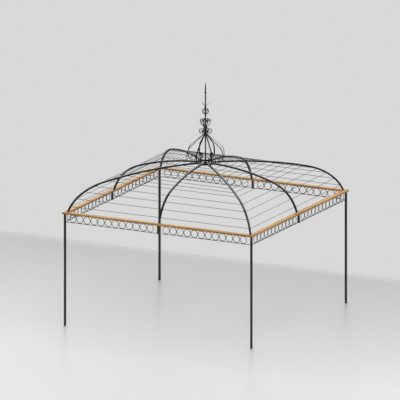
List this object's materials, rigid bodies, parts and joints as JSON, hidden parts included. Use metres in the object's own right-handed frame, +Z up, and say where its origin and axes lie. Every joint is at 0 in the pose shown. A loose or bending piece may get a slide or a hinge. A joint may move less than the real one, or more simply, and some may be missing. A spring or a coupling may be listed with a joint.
{
  "type": "metal gazebo",
  "caption": "Open square garden gazebo: tube posts, timber rail over a ring frieze, shallow domed roof of ribs and wires, with an onion cage and scrolled spire on top.",
  "frame": {"origin": "on the ground, at the middle of the square of posts", "axes": "+Z up along the spire; -Y towards the front side, +X to the right"},
  "size_m": [4.292, 4.292, 4.82],
  "materials": {
    "frame_paint": "satin",
    "roof_paint": "satin",
    "ornament_paint": "satin",
    "timber": "satin"
  },
  "bodies": {
    "root": {"post_front_left": "frame_paint", "post_front_right": "frame_paint", "post_back_right": "frame_paint", "post_back_left": "frame_paint", "drop_post_front": "frame_paint", "drop_post_right": "frame_paint", "drop_post_back": "frame_paint", "drop_post_left": "frame_paint", "rail_front": "timber", "rail_right": "timber", "rail_back": "timber", "rail_left": "timber", "frieze_front_left": "frame_paint", "frieze_front_right": "frame_paint", "frieze_right_front": "frame_paint", "frieze_right_back": "frame_paint", "frieze_back_right": "frame_paint", "frieze_back_left": "frame_paint", "frieze_left_back": "frame_paint", "frieze_left_front": "frame_paint", "corner_rib_front_left": "roof_paint", "corner_rib_front_right": "roof_paint", "corner_rib_back_right": "roof_paint", "corner_rib_back_left": "roof_paint", "side_rib_front": "roof_paint", "side_rib_right": "roof_paint", "side_rib_back": "roof_paint", "side_rib_left": "roof_paint", "wires_front_left": "roof_paint", "wires_front_right": "roof_paint", "wires_right_front": "roof_paint", "wires_right_back": "roof_paint", "wires_back_right": "roof_paint", "wires_back_left": "roof_paint", "wires_left_back": "roof_paint", "wires_left_front": "roof_paint", "crown_ring": "roof_paint", "onion_cage": "ornament_paint", "spire_rod": "ornament_paint", "lower_scrolls": "ornament_paint", "upper_scrolls": "ornament_paint", "twisted_basket": "ornament_paint", "leaf_sprig": "ornament_paint"}
  },
  "joints": []
}
